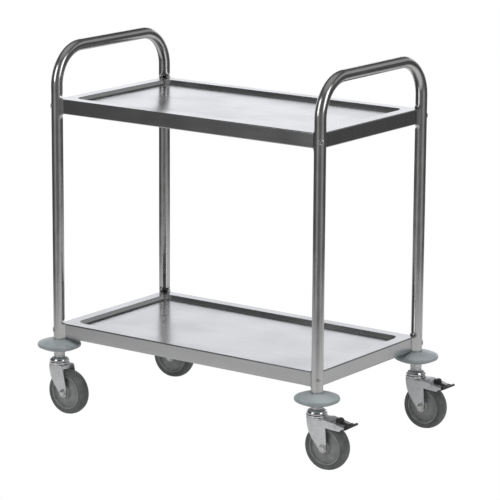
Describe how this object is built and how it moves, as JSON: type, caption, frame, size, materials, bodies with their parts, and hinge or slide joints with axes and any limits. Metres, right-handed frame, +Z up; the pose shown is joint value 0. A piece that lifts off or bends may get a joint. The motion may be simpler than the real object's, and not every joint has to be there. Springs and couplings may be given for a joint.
{
  "type": "instrument cart",
  "caption": "Two-shelf instrument cart with bent tube ends that form push handles, recessed tray shelves, disc bumpers and swivel casters.",
  "frame": {"origin": "on the floor, at the middle of the footprint with the casters trailing towards +X", "axes": "+X along the long side towards the braked casters, +Z up"},
  "size_m": [0.8238, 0.476, 0.8235],
  "materials": {
    "tube_steel": "stainless tube, drawn and polished along its length",
    "shelf_steel": "stainless sheet, satin brushed along its length",
    "bolt_steel": "bright steel",
    "zinc_steel": "zinc-plated steel",
    "fork_zinc": "pressed steel, bright zinc plate",
    "race_chrome": "bright chrome plate",
    "bumper_grey": "soft blue-grey plastic, slightly mottled",
    "wheel_grey": "moulded grey plastic",
    "tyre_grey": "non-marking grey rubber",
    "pedal_black": "black moulded plastic",
    "expander_rubber": "black rubber"
  },
  "bodies": {
    "frame": {"hoop_left": "tube_steel", "hoop_right": "tube_steel", "upper_shelf": "shelf_steel", "lower_shelf": "shelf_steel", "shelf_bolts": "bolt_steel", "shelf_nuts": "bolt_steel", "corner_plates": "zinc_steel", "swivel_balls": "race_chrome", "bumper_front_left": "bumper_grey", "stem_front_left": "zinc_steel", "expander_front_left": "expander_rubber", "upper_race_front_left": "race_chrome", "bumper_rear_left": "bumper_grey", "stem_rear_left": "zinc_steel", "expander_rear_left": "expander_rubber", "upper_race_rear_left": "race_chrome", "bumper_front_right": "bumper_grey", "stem_front_right": "zinc_steel", "expander_front_right": "expander_rubber", "upper_race_front_right": "race_chrome", "bumper_rear_right": "bumper_grey", "stem_rear_right": "zinc_steel", "expander_rear_right": "expander_rubber", "upper_race_rear_right": "race_chrome"},
    "caster_front_left": {"lower_race_front_left": "race_chrome", "fork_front_left": "fork_zinc", "axle_bolt_front_left": "bolt_steel", "axle_nut_front_left": "bolt_steel", "axle_bush_front_left": "bolt_steel"},
    "wheel_front_left": {"wheel_core_front_left": "wheel_grey", "tyre_front_left": "tyre_grey"},
    "caster_rear_left": {"lower_race_rear_left": "race_chrome", "fork_rear_left": "fork_zinc", "axle_bolt_rear_left": "bolt_steel", "axle_nut_rear_left": "bolt_steel", "axle_bush_rear_left": "bolt_steel"},
    "wheel_rear_left": {"wheel_core_rear_left": "wheel_grey", "tyre_rear_left": "tyre_grey"},
    "caster_front_right": {"lower_race_front_right": "race_chrome", "fork_front_right": "fork_zinc", "axle_bolt_front_right": "bolt_steel", "axle_nut_front_right": "bolt_steel", "axle_bush_front_right": "bolt_steel", "lever_pin_front_right": "zinc_steel"},
    "wheel_front_right": {"wheel_core_front_right": "wheel_grey", "tyre_front_right": "tyre_grey"},
    "brake_front_right": {"brake_lever_front_right": "fork_zinc", "pedal_cap_front_right": "pedal_black"},
    "caster_rear_right": {"lower_race_rear_right": "race_chrome", "fork_rear_right": "fork_zinc", "axle_bolt_rear_right": "bolt_steel", "axle_nut_rear_right": "bolt_steel", "axle_bush_rear_right": "bolt_steel", "lever_pin_rear_right": "zinc_steel"},
    "wheel_rear_right": {"wheel_core_rear_right": "wheel_grey", "tyre_rear_right": "tyre_grey"},
    "brake_rear_right": {"brake_lever_rear_right": "fork_zinc", "pedal_cap_rear_right": "pedal_black"}
  },
  "joints": [
    {"name": "swivel_front_left", "type": "hinge", "parent": "frame", "child": "caster_front_left", "pos_m": [-0.3635, -0.19, 0.111], "axis": [0, 0, 1], "continuous": true},
    {"name": "wheel_spin_front_left", "type": "hinge", "parent": "caster_front_left", "child": "wheel_front_left", "pos_m": [-0.33652, -0.19094, 0.05], "axis": [0.0349, 0.9994, 0], "continuous": true},
    {"name": "swivel_rear_left", "type": "hinge", "parent": "frame", "child": "caster_rear_left", "pos_m": [-0.3635, 0.19, 0.111], "axis": [0, 0, 1], "continuous": true},
    {"name": "wheel_spin_rear_left", "type": "hinge", "parent": "caster_rear_left", "child": "wheel_rear_left", "pos_m": [-0.3366, 0.19235, 0.05], "axis": [-0.0872, 0.9962, 0], "continuous": true},
    {"name": "swivel_front_right", "type": "hinge", "parent": "frame", "child": "caster_front_right", "pos_m": [0.3265, -0.19, 0.111], "axis": [0, 0, 1], "continuous": true},
    {"name": "wheel_spin_front_right", "type": "hinge", "parent": "caster_front_right", "child": "wheel_front_right", "pos_m": [0.35348, -0.18906, 0.05], "axis": [-0.0349, 0.9994, 0], "continuous": true},
    {"name": "brake_front_right", "type": "hinge", "parent": "caster_front_right", "child": "brake_front_right", "pos_m": [0.37947, -0.18815, 0.1016], "axis": [-0.0349, 0.9994, 0], "range_deg": [0, 15]},
    {"name": "swivel_rear_right", "type": "hinge", "parent": "frame", "child": "caster_rear_right", "pos_m": [0.3265, 0.19, 0.111], "axis": [0, 0, 1], "continuous": true},
    {"name": "wheel_spin_rear_right", "type": "hinge", "parent": "caster_rear_right", "child": "wheel_rear_right", "pos_m": [0.3535, 0.18953, 0.05], "axis": [0.0175, 0.9998, 0], "continuous": true},
    {"name": "brake_rear_right", "type": "hinge", "parent": "caster_rear_right", "child": "brake_rear_right", "pos_m": [0.37949, 0.18908, 0.1016], "axis": [0.0175, 0.9998, 0], "range_deg": [0, 15]}
  ]
}
